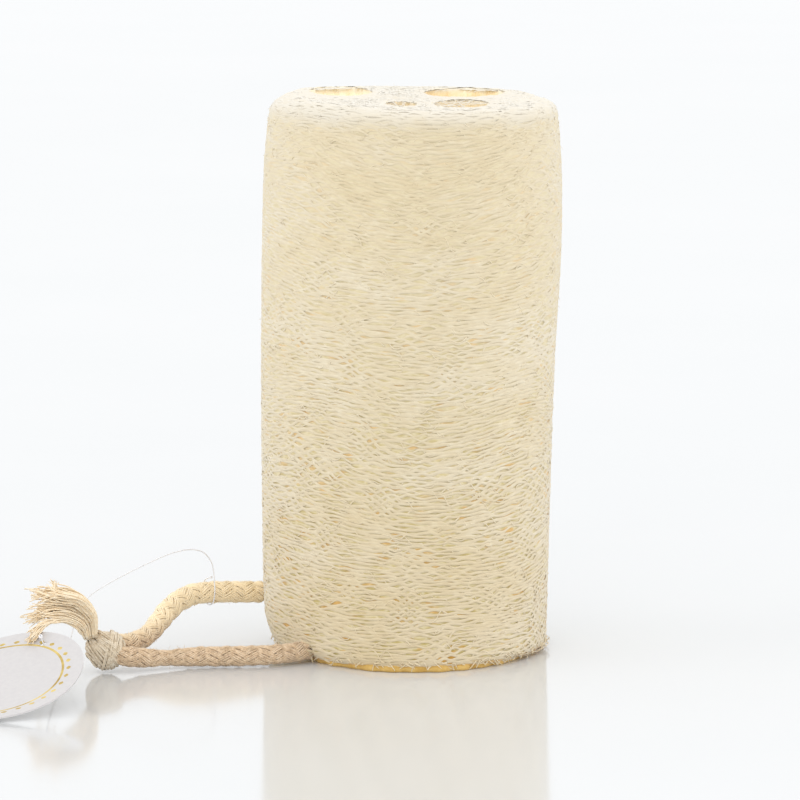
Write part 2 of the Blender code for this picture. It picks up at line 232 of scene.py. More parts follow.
def fan(ring, hub, turned=False):
    """Triangles from a closed ring of points to one in its middle."""
    ahead = np.roll(ring, -1)
    a, b = (ahead, ring) if turned else (ring, ahead)
    return np.stack([a, b, np.full(len(ring), hub), np.full(len(ring), -1)], axis=1)


def joined(parts):
    """Several (points, faces) pairs as one."""
    points = []
    faces = []
    start = 0
    for p, f in parts:
        points.append(p)
        faces.append(np.where(f >= 0, f + start, -1))
        start += len(p)
    return np.concatenate(points), np.concatenate(faces)


def tubes(paths, radii, ups, sides=3, flat=1.0):
    """Tubes along many paths at once: paths and ups are (tubes, points, 3), radii (tubes, points)."""
    paths = np.asarray(paths, float)
    count, steps = paths.shape[:2]
    ahead = unit(np.gradient(paths, axis=1))
    side = unit(np.cross(ahead, ups))
    up = np.cross(side, ahead)
    angle = TAU * np.arange(sides) / sides + math.pi / 2
    radii = np.broadcast_to(radii, (count, steps))
    ring = (
        np.cos(angle)[None, None, :, None] * side[:, :, None, :]
        + flat * np.sin(angle)[None, None, :, None] * up[:, :, None, :]
    )
    points = paths[:, :, None, :] + radii[:, :, None, None] * ring
    index = np.arange(count * steps * sides).reshape(count, steps, sides)
    none = np.full(count, -1)
    caps = []
    for ends in (index[:, 0, ::-1], index[:, -1]):
        if sides == 4:
            caps.append(ends)
            continue
        for i in range(1, sides - 1):
            caps.append(np.stack([ends[:, 0], ends[:, i], ends[:, i + 1], none], axis=1))
    return points.reshape(-1, 3), np.concatenate([ring_faces(index)] + caps)


def smooth_path(route, step):
    """Points at even steps along a Catmull-Rom curve through a route in millimetres."""
    knots = np.array(route, float) * MM
    padded = np.vstack([2 * knots[0] - knots[1], knots, 2 * knots[-1] - knots[-2]])
    dense = []
    for a, b, c, d in zip(padded, padded[1:], padded[2:], padded[3:]):
        for t in np.linspace(0, 1, 16, endpoint=False):
            ahead = 2 * b + (c - a) * t
            bend = (2 * a - 5 * b + 4 * c - d) * t**2 + (3 * b - a - 3 * c + d) * t**3
            dense.append((ahead + bend) / 2)
    dense = np.array(dense + [knots[-1]])
    run = np.concatenate([[0], np.cumsum(np.linalg.norm(np.diff(dense, axis=0), axis=1))])
    at = np.linspace(0, run[-1], max(2, round(run[-1] / step) + 1))
    return np.stack([np.interp(at, run, dense[:, i]) for i in range(3)], axis=1)


def carried_frames(path):
    """Two directions square to a path at each point, turning as little as they can."""
    ahead = unit(np.gradient(path, axis=0))
    side = np.cross(ahead[0], (0.0, 0.0, 1.0))
    sides = []
    for t in ahead:
        side = unit(side - t * np.dot(side, t))
        sides.append(side)
    sides = np.array(sides)
    return sides, np.cross(ahead, sides)


def waves(seed, count, around, length):
    """A smooth field of angle and height, mostly from -1 to 1."""
    rng = np.random.default_rng(seed)
    k = rng.integers(1, around + 1, count)
    m = rng.uniform(-1, 1, count) * TAU / length
    p = rng.uniform(0, TAU, count)

    def field(theta, height):
        total = sum(np.sin(a * theta + b * height + c) for a, b, c in zip(k, m, p))
        return total / math.sqrt(count)

    return field


def raw_outline(theta, height):
    share = np.clip(height / SPONGE_HEIGHT, 0, 1)
    lobes = 1 + LOBE_DEPTH * np.cos(LOBE_COUNT * (theta - LOBE_ANGLE))
    taper = 1 - BASE_TAPER * (1 - share) ** 1.5 - TOP_TAPER * share**6
    x = HALF_WIDTH * lobes * taper * np.cos(theta)
    y = HALF_DEPTH * lobes * taper * np.sin(theta)
    return x, y, LEAN * share**2


def outline_middle():
    theta, height = np.meshgrid(np.linspace(0, TAU, 721), np.linspace(0, SPONGE_HEIGHT, 60))
    x, y, lean = raw_outline(theta, height)
    x = x + lean
    return (x.min() + x.max()) / 2, (y.min() + y.max()) / 2


MIDDLE = outline_middle()


def left_lift(x):
    """The cut face stands a little higher on the left and falls off at both ends."""
    shoulder = np.clip((np.abs(x) - SHOULDER_START) / SHOULDER_SPAN, 0, 1) ** 1.5
    return LEFT_RISE * np.clip(-x / LEFT_REACH, 0, 1) - np.where(x > 0, *SHOULDER_FALLS) * shoulder


def skin(theta, run, depth):
    """Points and outward directions on the sponge: run goes up the side and on over the rims."""
    top = SPONGE_HEIGHT - RIM_RADIUS
    quarter = RIM_RADIUS * math.pi / 2
    up = np.clip((run - top) / RIM_RADIUS, 0, math.pi / 2)
    down = np.clip((RIM_RADIUS - run) / RIM_RADIUS, 0, math.pi / 2)
    over = np.maximum(run - top - quarter, 0) + np.maximum(RIM_RADIUS - quarter - run, 0)
    z = np.clip(run, RIM_RADIUS, top) + RIM_RADIUS * (np.sin(up) - np.sin(down))
    inset = RIM_RADIUS * (2 - np.cos(up) - np.cos(down)) + over
    x, y, lean = raw_outline(theta, z)
    keep = 1 - inset / np.hypot(x, y)
    nx = np.cos(theta) / HALF_WIDTH
    ny = np.sin(theta) / HALF_DEPTH
    size = np.hypot(nx, ny)
    flat = np.cos(up) * np.cos(down)
    normal = np.stack([nx / size * flat, ny / size * flat, np.sin(up) - np.sin(down)], axis=-1)
    high = np.clip((z - TOP_START) / TOP_SPAN, 0, 1) ** 2
    belly = np.exp(-(((z - BELLY_HEIGHT) / BELLY_SPREAD) ** 2))
    rightward = np.clip(np.cos(theta), 0, 1) ** 2 * (RIGHT_OUT + BELLY_OUT * belly)
    rightward = rightward - np.cos(theta) * np.abs(np.cos(theta)) * TOP_IN * high
    corner = np.clip(-np.cos(theta), 0, 1) ** 2 * CORNER_IN * np.clip(1 - z / CORNER_HEIGHT, 0, 1) ** 2
    forward = np.clip(-np.sin(theta), 0, 1) ** 2 * FOOT_BULGE * np.clip(1 - z / FOOT_HEIGHT, 0, 1) ** 1.5
    px = x * keep + lean - MIDDLE[0] + rightward + corner
    place = np.stack([px, y * keep - MIDDLE[1] - forward, z + left_lift(px) * high], axis=-1)
    return place - normal * np.asarray(depth)[..., None], normal


def cavity_place(x, y, cavity):
    """Millimetre coordinates in a cavity's own axes."""
    (cx, cy), _, turn, _ = cavity
    swing = math.radians(turn)
    dx = x / MM - cx
    dy = y / MM - cy
    return dx * math.cos(swing) + dy * math.sin(swing), -dx * math.sin(swing) + dy * math.cos(swing)


def from_cavity(a, b, cavity):
    (cx, cy), _, turn, _ = cavity
    swing = math.radians(turn)
    x = cx + a * math.cos(swing) - b * math.sin(swing)
    y = cy + a * math.sin(swing) + b * math.cos(swing)
    return x * MM, y * MM


def cavity_share(x, y, cavity, grow=0.0):
    """0 at a cavity's middle, 1 at its wall."""
    a, b = cavity_place(x, y, cavity)
    return np.hypot(a / (cavity[1][0] + grow), b / (cavity[1][1] + grow))


def hole_edge(hole, grow, turn):
    """Points round a hole's edge; it grows by so many millimetres."""
    half = hole[1]
    return from_cavity((half[0] + grow) * np.cos(turn), (half[1] + grow) * np.sin(turn), hole)


def edge_share(x, y):
    """Distance in from the sponge's edge at the top, in metres."""
    theta = np.arctan2(y / HALF_DEPTH, x / HALF_WIDTH)
    ox, oy, _ = raw_outline(theta, np.full_like(theta, SPONGE_HEIGHT))
    inward = TOP_EDGE_IN * np.clip(-np.cos(theta), 0, 1) ** 2
    return np.hypot(ox, oy) - inward - np.hypot(x - LEAN + MIDDLE[0], y + MIDDLE[1])


def clear_rope(points, reach):
    """Moves points that lie in the rope out to its surface."""
    shape = points.shape
    flat = points.reshape(-1, 3)
    near = np.where((flat[:, 2] < ROPE_ZONE_TOP) & (flat[:, 0] < 0))[0]
    some = flat[near]
    gap = np.linalg.norm(some[:, None, :] - ROPE_HIDDEN[None], axis=2)
    nearest = gap.argmin(axis=1)
    far = gap.min(axis=1)
    inside = far < reach
    away = some[inside] - ROPE_HIDDEN[nearest[inside]]
    away[:, 2] = np.abs(away[:, 2])
    flat[near[inside]] = ROPE_HIDDEN[nearest[inside]] + unit(away) * reach
    return flat.reshape(shape)


# Materials

def linear(colour):
    """An 8-bit screen colour as the renderer's own values."""
    values = [c / 255 for c in colour]
    return tuple(v / 12.92 if v <= 0.04045 else ((v + 0.055) / 1.055) ** 2.4 for v in values)


class Look:
    """A material whose methods each add a node and give its output."""

    def __init__(self, name, roughness, sheen=0.0, gloss=0.25):
        self.mat = bpy.data.materials.new(name)
        self.mat.use_nodes = True
        self.nodes = self.mat.node_tree.nodes
        self.links = self.mat.node_tree.links
        self.shader = self.nodes["Principled BSDF"]
        self.fill(self.shader.inputs["Roughness"], roughness)
        self.fill(self.shader.inputs["Sheen Weight"], sheen)
        self.fill(self.shader.inputs["Sheen Roughness"], 0.6)
        self.fill(self.shader.inputs["Specular IOR Level"], gloss)

    def fill(self, socket, source):
        """Gives a socket a number, a screen colour or another node's output."""
        if isinstance(source, float):
            socket.default_value = source
        elif isinstance(source, tuple):
            socket.default_value = (*linear(source), 1.0)
        else:
            self.links.new(source, socket)

    def paint(self, colour, glow=0.0, glow_colour=None):
        self.fill(self.shader.inputs["Base Color"], colour)
        if glow:
            self.fill(self.shader.inputs["Emission Color"], glow_colour or colour)
            self.fill(self.shader.inputs["Emission Strength"], glow)

    def place(self, scale=(1.0, 1.0, 1.0)):
        coordinates = self.nodes.new("ShaderNodeTexCoord")
        mapping = self.nodes.new("ShaderNodeMapping")
        mapping.inputs["Scale"].default_value = scale
        self.fill(mapping.inputs["Vector"], coordinates.outputs["Object"])
        return mapping.outputs["Vector"]

    def axes(self):
        coordinates = self.nodes.new("ShaderNodeTexCoord")
        split = self.nodes.new("ShaderNodeSeparateXYZ")
        self.fill(split.inputs["Vector"], coordinates.outputs["Object"])
        return split.outputs

    def noise(self, vector, scale, detail, roughness=0.6, output="Fac"):
        tex = self.nodes.new("ShaderNodeTexNoise")
        self.fill(tex.inputs["Scale"], scale)
        self.fill(tex.inputs["Detail"], detail)
        self.fill(tex.inputs["Roughness"], roughness)
        self.fill(tex.inputs["Vector"], vector)
        return tex.outputs[output]

    def ramp(self, value, stops):
        ramp = self.nodes.new("ShaderNodeValToRGB")
        while len(ramp.color_ramp.elements) < len(stops):
            ramp.color_ramp.elements.new(0.5)
        for element, (place, colour) in zip(ramp.color_ramp.elements, stops):
            element.position = place
            element.color = (*linear(colour), 1.0)
        self.fill(ramp.inputs["Fac"], value)
        return ramp.outputs["Color"]

    def mix(self, factor, a, b, mode="MIX"):
        mix = self.nodes.new("ShaderNodeMix")
        mix.data_type = "RGBA"
        mix.blend_type = mode
        self.fill(mix.inputs[0], factor)
        self.fill(mix.inputs[6], a)
        self.fill(mix.inputs[7], b)
        return mix.outputs[2]

    def times(self, a, b):
        return self.mix(1.0, a, b, "MULTIPLY")

    def maths(self, operation, *sources):
        node = self.nodes.new("ShaderNodeMath")
        node.operation = operation
        for socket, source in zip(node.inputs, sources):
            self.fill(socket, source)
        return node.outputs[0]

    def height(self, low, high, wobble=0.0, vector=None):
        """0 below one height and 1 above another, in metres, along a wavy line where it wobbles."""
        z = self.axes()["Z"]
        if wobble:
            z = self.maths("MULTIPLY_ADD", self.noise(vector, 60.0, 3.0), wobble, z)
        spread = self.nodes.new("ShaderNodeMapRange")
        self.fill(spread.inputs["From Min"], low + wobble / 2)
        self.fill(spread.inputs["From Max"], high + wobble / 2)
        self.fill(spread.inputs["Value"], z)
        return spread.outputs["Result"]

    def bump(self, value, strength, distance):
        bump = self.nodes.new("ShaderNodeBump")
        self.fill(bump.inputs["Strength"], strength)
        self.fill(bump.inputs["Distance"], distance)
        self.fill(bump.inputs["Height"], value)
        self.fill(self.shader.inputs["Normal"], bump.outputs["Normal"])


def fibre_material():
    look = Look("loofah_fibre", 0.75, sheen=0.55)
    vector = look.place((1.0, 1.0, 2.5))
    fine = look.noise(vector, 420.0, 3.0)
    tone = look.ramp(fine, [(0.3, (215, 201, 172)), (0.5, (219, 206, 178)), (0.7, (225, 214, 189))])
    broad = look.noise(vector, 26.0, 2.0)
    wide = look.ramp(broad, [(0.35, (251, 247, 236)), (0.65, (255, 255, 255))])
    side = look.times(tone, wide)
    side = look.mix(look.height(0.06, 0.0), side, look.times(side, (249, 245, 238)))
    top = look.height(0.1445, 0.1485, 0.006, vector)
    look.paint(look.mix(top, side, (222, 214, 197)))
    look.bump(fine, 0.3, 0.0001)
    return look.mat


def core_material():
    """The net's lower layers: pale strands round small pits painted darker and yellower, partly the deeper
    fibres' own yellow and partly painted shade, strongest towards the base and fading out upward; a band of
    painted amber light at the very bottom.
    """
    look = Look("loofah_core", 0.8, sheen=0.3)
    vector = look.place((1.0, 1.0, 3.4))
    push = look.nodes.new("ShaderNodeVectorMath")
    push.operation = "MULTIPLY_ADD"
    push.inputs[1].default_value = (0.004, 0.004, 0.004)
    look.fill(push.inputs[0], look.noise(vector, 150.0, 2.0, 0.5, "Color"))
    look.fill(push.inputs[2], vector)
    cells = look.nodes.new("ShaderNodeTexVoronoi")
    cells.feature = "DISTANCE_TO_EDGE"
    look.fill(cells.inputs["Scale"], 330.0)
    look.fill(cells.inputs["Vector"], push.outputs["Vector"])
    net = cells.outputs["Distance"]
    strand = [(0.0, (220, 206, 170)), (0.12, (210, 194, 146))]
    # Pit colours: partly the deeper fibres' own yellow, partly painted shade in the recesses between the
    # strands
    shaded_pit = [(0.26, (198, 180, 120)), (0.45, (186, 164, 94))]
    spots = look.noise(vector, 150.0, 2.0, 0.5)
    amber = look.ramp(spots, [(0.56, (255, 255, 255)), (0.68, (255, 214, 138))])
    low = look.times(look.ramp(net, strand + shaded_pit), amber)
    # The painted shade of the pits fades out upward into a plain tone
    colour = look.mix(look.height(0.0, 0.17), low, (222, 209, 178))
    colour = look.mix(look.height(0.1445, 0.1475, 0.004, vector), colour, (223, 214, 196))
    # Amber at the very bottom: painted light, the glow where light comes through the base
    colour = look.mix(look.height(0.0026, 0.0008), colour, (226, 176, 92))
    look.paint(colour)
    look.bump(net, -0.35, 0.0004)
    return look.mat


def lining_material(name, stops, glow):
    """A tube's ribbed lining; its glow stands for the light that comes in through the net."""
    look = Look(name, 0.7, sheen=0.1)
    vector = look.place((1.0, 1.0, 0.25))
    ribs = look.noise(vector, 320.0, 3.0)
    lip = look.height(0.1478, 0.1492, 0.002, vector)
    deep = look.ramp(ribs, stops)
    look.paint(look.mix(lip, deep, (238, 230, 210)), glow, look.mix(lip, deep, (80, 74, 60)))
    look.bump(ribs, 0.7, 0.0005)
    return look.mat


def glow_material():
    look = Look("base_glow", 0.8, sheen=0.1)
    strands = look.noise(look.place(), 500.0, 3.0)
    look.paint(look.ramp(strands, [(0.3, (180, 142, 70)), (0.7, (204, 172, 104))]), 0.16)
    look.bump(strands, 0.4, 0.0003)
    return look.mat


def cotton_material(name, dark, mid, light, painted_warm_light=None):
    look = Look(name, 0.85, sheen=0.35)
    lint = look.noise(look.place(), 900.0, 5.0, 0.7)
    tone = look.ramp(lint, [(0.3, dark), (0.5, mid), (0.7, light)])
    if painted_warm_light:
        # Warmer above 6.5 mm: painted light, the light that shines through the raised strand
        high = look.height(0.0065, 0.011)
        tone = look.mix(high, tone, look.mix(1.0, tone, painted_warm_light))
    look.paint(tone)
    look.bump(lint, 0.5, 0.0003)
    return look.mat


def nylon_material():
    look = Look("nylon_thread", 0.25, gloss=0.5)
    drawn = look.noise(look.place(), 300.0, 2.0)
    look.paint(look.ramp(drawn, [(0.3, (232, 231, 234)), (0.7, (244, 244, 247))]))
    look.bump(drawn, 0.1, 0.0001)
    return look.mat


def paper_material():
    """White card with a faint grain and a thin gilt ring with beads round it."""
    ring_radius = 0.0216
    bead_radius = 0.0231
    beads_round = 36.0
    look = Look("tag_paper", 0.5)
    vector = look.place()
    grain = look.noise(vector, 700.0, 5.0)
    paper = look.ramp(grain, [(0.3, (202, 199, 199)), (0.7, (208, 205, 204))])
    axes = look.axes()
    x = axes["X"]
    y = axes["Y"]
    square = look.maths("ADD", look.maths("MULTIPLY", x, x), look.maths("MULTIPLY", y, y))
    radius = look.maths("SQRT", square)
    angle = look.maths("ARCTAN2", y, x)
    off_ring = look.maths("ABSOLUTE", look.maths("SUBTRACT", radius, ring_radius))
    off_beads = look.maths("ABSOLUTE", look.maths("SUBTRACT", radius, bead_radius))
    bead_wave = look.maths("SINE", look.maths("MULTIPLY", angle, beads_round))
    bead_size = look.maths("SUBTRACT", look.maths("MULTIPLY", bead_wave, 0.0007), 0.0001)
    line = look.maths("LESS_THAN", off_ring, 0.00032)
    gilt = look.maths("MAXIMUM", line, look.maths("LESS_THAN", off_beads, bead_size))
    gold = look.ramp(look.noise(vector, 160.0, 2.0), [(0.35, (168, 138, 62)), (0.65, (222, 198, 120))])
    look.paint(look.mix(gilt, paper, gold))
    look.bump(grain, 0.15, 0.0001)
    return look.mat


def floor_material():
    look = Look("floor", 0.1, gloss=0.58)
    faint = look.noise(look.place(), 6.0, 2.0)
    look.paint(look.ramp(faint, [(0.3, (214, 216, 217)), (0.7, (217, 218, 219))]))
    return look.mat


# Camera
camera = bpy.data.objects.new("camera", bpy.data.cameras.new("camera"))
bpy.context.scene.collection.objects.link(camera)
camera.location = CAMERA_PLACE
aim = Vector(CAMERA_AIM) - Vector(CAMERA_PLACE)
camera.rotation_euler = aim.to_track_quat("-Z", "Y").to_euler()
camera.data.lens = CAMERA_LENS
camera.data.sensor_width = CAMERA_SENSOR
camera.data.shift_y = CAMERA_SHIFT
camera.data.clip_start = CAMERA_NEAR
camera.data.clip_end = CAMERA_FAR
bpy.context.scene.camera = camera

# Rope: a round braid of eight strands, three yarns each, in one closed loop through the knot
ROPE_WAIST = (-65.0, -33.8, 3.0)
ROPE_CORE_RADIUS = 1.94 * MM
ROPE_FLOOR = 0.05 * MM
ROPE_LOOP = ROPE_ROUTE[ROPE_HOLE:] + ROPE_IN_KNOT + ROPE_ROUTE[:ROPE_HOLE]
ROPE_HIDDEN = smooth_path(ROPE_ROUTE[5:17], 1.2 * MM)
BRAID_PITCH = 27 * MM
BRAID_STRANDS = 8
YARN_RADIUS = 0.26 * MM
BRAID_RADIUS = 2.28 * MM
BRAID_WEAVE = 0.2 * MM


def braid(path, squeeze):
    """Strands of three yarns in both turns: each goes over two and under two of the others."""
    side, up = carried_frames(path)
    step = np.linalg.norm(path[1] - path[0])
    run = step * np.arange(len(path))
    over = np.cos(2 * TAU * 2 * run / BRAID_PITCH - math.pi / 4)
    rng = np.random.default_rng(3)
    lines = []
    outs = []
    for turn in (1, -1):
        for strand in range(BRAID_STRANDS):
            loose = rng.uniform(0, TAU)
            for yarn in (-1, 0, 1):
                radius = BRAID_RADIUS + turn * BRAID_WEAVE * over + 0.06 * MM * (1 - abs(yarn))
                radius = (radius + 0.07 * MM * np.sin(run * 700 + loose)) * squeeze
                lag = yarn * 0.5 * MM / BRAID_RADIUS + 0.03 * np.sin(run * 500 + 2 * loose + yarn)
                angle = turn * TAU * run / BRAID_PITCH + TAU * strand / BRAID_STRANDS + lag
                out = outward(angle, side, up)
                lines.append(path + radius[:, None] * out)
                outs.append(out)
    return tubes(np.array(lines), YARN_RADIUS * squeeze[None], np.array(outs), 4)


rope_path = smooth_path(ROPE_LOOP, 0.9 * MM)
from_knot = np.linalg.norm(rope_path - np.array(KNOT_CENTRE) * MM, axis=1)
from_waist = np.linalg.norm(rope_path - np.array(ROPE_WAIST) * MM, axis=1)
squeeze = 1 - 0.25 * np.clip((5.6 * MM - from_knot) / (2 * MM), 0, 1)
squeeze = squeeze - 0.2 * np.exp(-((from_waist / (5 * MM)) ** 2))
squeeze = squeeze * (1 + 0.1 * np.clip((rope_path[:, 2] - 7.5 * MM) / (3 * MM), 0, 1))
rope_up = carried_frames(rope_path)[1]
rope_core = tubes(rope_path[None], ROPE_CORE_RADIUS * squeeze[None], rope_up[None], 8)


def lint(path, count, radius, seed):
    """Short fine hairs that stand off a round cord."""
    rng = np.random.default_rng(seed)
    side, up = carried_frames(path)
    at = rng.integers(1, len(path) - 1, count)
    turn = rng.uniform(0, TAU, count)
    out = outward(turn, side[at], up[at])
    along = unit(path[at + 1] - path[at - 1])
    long = rng.uniform(0.8, 1.9, (count, 1)) * MM
    way = rng.uniform(-1.2, 1.2, (count, 1))
    curl = rng.uniform(-0.45, 0.45, (count, 3))
    lines = []
    for k in range(5):
        t = k / 4
        lines.append(path[at] + out * radius + long * (out * 0.35 * t + along * way * t + curl * t * t))
    lines = np.stack(lines, axis=1)
    return tubes(lines, np.full((1, 1), 0.035 * MM), np.repeat(out[:, None, :], 5, axis=1), 3)


rope_shape = joined([rope_core, braid(rope_path, squeeze), lint(rope_path, 420, 2.3 * MM, 8)])
rope_shape[0][:, 2] = np.maximum(rope_shape[0][:, 2], ROPE_FLOOR)
rope_cotton = cotton_material(
    "rope_cotton", dark=(178, 148, 114), mid=(219, 192, 158), light=(240, 218, 190), painted_warm_light=(255, 236, 200)
)
rope = mesh_piece("cotton_rope", rope_shape, rope_cotton, "rope_loop")

# Knot: bands of yarn wound round a small ball

def wound_band(axis, low, high, count, radius, yarn, seed):
    """Yarn rings side by side round an axis through the knot's middle."""
    rng = np.random.default_rng(seed)
    axis = unit(np.array(axis))
    side = unit(np.cross(axis, (0.0, 1.0, 0.0)))
    front = np.cross(axis, side)
    turn = np.linspace(0, TAU, 49)
    lines = []
    outs = []
    for i in range(count):
        level = low + (high - low) * i / (count - 1)
        tilt = rng.normal() * 0.35 * MM
        along = level + tilt * np.sin(turn + rng.uniform(0, TAU)) + 0.08 * MM * np.sin(3 * turn + i)
        size = np.sqrt(np.maximum(radius**2 - along**2, (0.8 * MM) ** 2))
        size = size + 0.18 * MM * np.sin(2 * turn + rng.uniform(0, TAU)) * rng.uniform(0.3, 1)
        out = outward(turn, side, front)
        lines.append(np.array(KNOT_CENTRE) * MM + along[:, None] * axis + size[:, None] * out)
        outs.append(out)
    return tubes(np.array(lines), np.full((1, 1), yarn), np.array(outs), 5)


def ball(centre, radii, rings=14, around=20):
    """A closed rounded body in millimetres."""
    points = []
    for i in range(1, rings):
        wide = math.sin(math.pi * i / rings)
        high = math.cos(math.pi * i / rings)
        for j in range(around):
            turn = TAU * j / around
            points.append((wide * math.cos(turn), wide * math.sin(turn), high))
    points += [(0, 0, 1), (0, 0, -1)]
    faces = []
    for i in range(rings - 2):
        for j in range(around):
            k = (j + 1) % around
            faces.append((i * around + j, (i + 1) * around + j, (i + 1) * around + k, i * around + k))
    last = (rings - 2) * around
    for j in range(around):
        k = (j + 1) % around
        faces.append((j, k, len(points) - 2, -1))
        faces.append((last + k, last + j, len(points) - 1, -1))
    points = (np.array(points) * np.array(radii) + np.array(centre)) * MM
    return points, np.array(faces)


knot_parts = [
    # a band's axis, its lowest and highest ring, number of rings, radius, yarn radius, seed
    ball(KNOT_CENTRE, (4.9, 4.9, 4.9)),
    wound_band((0.80, 0.10, 0.62), -4.7 * MM, 1.6 * MM, 17, 5.2 * MM, 0.25 * MM, 4),
    wound_band((0.93, 0.05, -0.20), 0.4 * MM, 4.8 * MM, 13, 5.4 * MM, 0.25 * MM, 5),
    wound_band((0.60, 0.35, 0.70), -1.0 * MM, 2.4 * MM, 7, 5.5 * MM, 0.22 * MM, 6),
]
knot_shape = joined(knot_parts)
knot_shape[0][:, 2] = np.maximum(knot_shape[0][:, 2], ROPE_FLOOR)
knot_cotton = cotton_material("knot_cotton", (192, 172, 142), (222, 206, 180), (240, 229, 210))
knot = mesh_piece("wound_knot", knot_shape, knot_cotton, "rope_knot")

# Frayed end: many thin yarns that swell up from the knot and fan out to the left
TASSEL_BUNDLES = 120
BUNDLE_YARNS = 2
TASSEL_STEPS = 22
TASSEL_YARN_RADIUS = 0.25 * MM
TASSEL_TUFTS = [
    # place of the tips, their spread, from which part of the tassel (0 lowest, 1 top), share of the bundles
    ((-98.8, -46.0, 22.2), (1.5, 2.4, 1.1), (0.7, 1.0), 0.28),
    ((-95.0, -44.5, 24.4), (1.6, 2.0, 0.5), (0.9, 1.0), 0.08),
    ((-100.2, -47.0, 18.8), (0.9, 2.6, 0.8), (0.45, 0.75), 0.1),
    ((-100.8, -49.5, 15.9), (1.1, 2.6, 0.8), (0.25, 0.55), 0.24),
    ((-99.6, -66.0, 13.8), (1.4, 2.0, 0.3), (0.0, 0.2), 0.14),
    ((-97.0, -38.0, 17.5), (1.6, 2.4, 3.4), (0.2, 0.9), 0.16),
]


def frayed_yarns():
    """Twisted bundles of yarns that leave the knot together and part in tufts, the lowest onto the tag."""
    rng = np.random.default_rng(12)
    lines = []
    t = np.linspace(0, 1, TASSEL_STEPS)[:, None]
    chances = np.array([tuft[3] for tuft in TASSEL_TUFTS])
    for i in range(TASSEL_BUNDLES):
        tip, scatter, part, _ = TASSEL_TUFTS[rng.choice(len(TASSEL_TUFTS), p=chances / chances.sum())]
        high = rng.uniform(*part)
        spread = rng.uniform(-0.5, 0.5)
        end = np.array(tip) + rng.normal(size=3) * scatter * 0.7
        long = rng.uniform(0.72, 1.1)
        twist = rng.uniform(3, 6) * rng.choice([-1, 1])
        for yarn in range(BUNDLE_YARNS):
            phase = TAU * yarn / BUNDLE_YARNS
            root = np.array([-86.2 + 3.2 * high, -40.8 + 3.0 * spread, 9.4 + 0.9 * high])
            rise = np.array([-87.8 + 4.6 * high, -41.8 + 6.0 * spread, 12.2 + 4.3 * high])
            hump = np.array([-91.4 + 4.4 * high, -43.4 + 9.0 * spread, 13.8 + 7.8 * high])
            crown = np.array([-95.2 + 2.2 * high, -47.0 + 2.0 * high + 11.0 * spread, 14.2 + 9.4 * high])
            if tip[1] < -60:
                hump = np.array([-91.6, -45.6 + 5 * spread, 15.2 + 2 * high])
                crown = np.array([-96.2, -57.0 + 3 * spread, 16.3])
            final = crown + (end + rng.normal(size=3) * 0.5 - crown) * long * rng.uniform(0.8, 1.08)
            path = smooth_path(np.array([root, rise, hump, crown, final]), 0.4 * MM)
            path = path[np.linspace(0, len(path) - 1, TASSEL_STEPS).round().astype(int)]
            turn = phase + twist * t
            wrap = np.concatenate([np.zeros_like(t), np.cos(turn), np.sin(turn)], axis=1)
            path = path + wrap * 0.24 * MM * (0.8 + 1.8 * t**3)
            for k in (1, 2, 3, 5, 7):
                push = rng.normal(size=3) * 0.38 * MM / k**0.5
                path = path + push * np.sin(k * 2.4 * t + rng.uniform(0, TAU)) * t**1.3
            lines.append(path)
    return np.array(lines)


tassel_lines = frayed_yarns()
tassel_ups = np.zeros_like(tassel_lines) + np.array([0.1, -0.3, 1.0])
tassel_taper = TASSEL_YARN_RADIUS * np.linspace(1.0, 0.6, TASSEL_STEPS)[None]
tassel_core = ball((-86.4, -41.2, 12.6), (2.0, 2.4, 2.2))
tassel_shape = joined([tassel_core, tubes(tassel_lines, tassel_taper, tassel_ups, 4)])
tassel_cotton = cotton_material("tassel_cotton", (234, 208, 168), (250, 230, 196), (254, 242, 219))
tassel = mesh_piece("frayed_tassel", tassel_shape, tassel_cotton, "rope_tassel")

# Tag: a curled round card
TAG_RINGS = 26
TAG_AROUND = 120


def tag_height(x):
    share = (x + TAG_DIAMETER / 2) / TAG_DIAMETER
    return TAG_LIFT + TAG_RISE * share * np.abs(share)


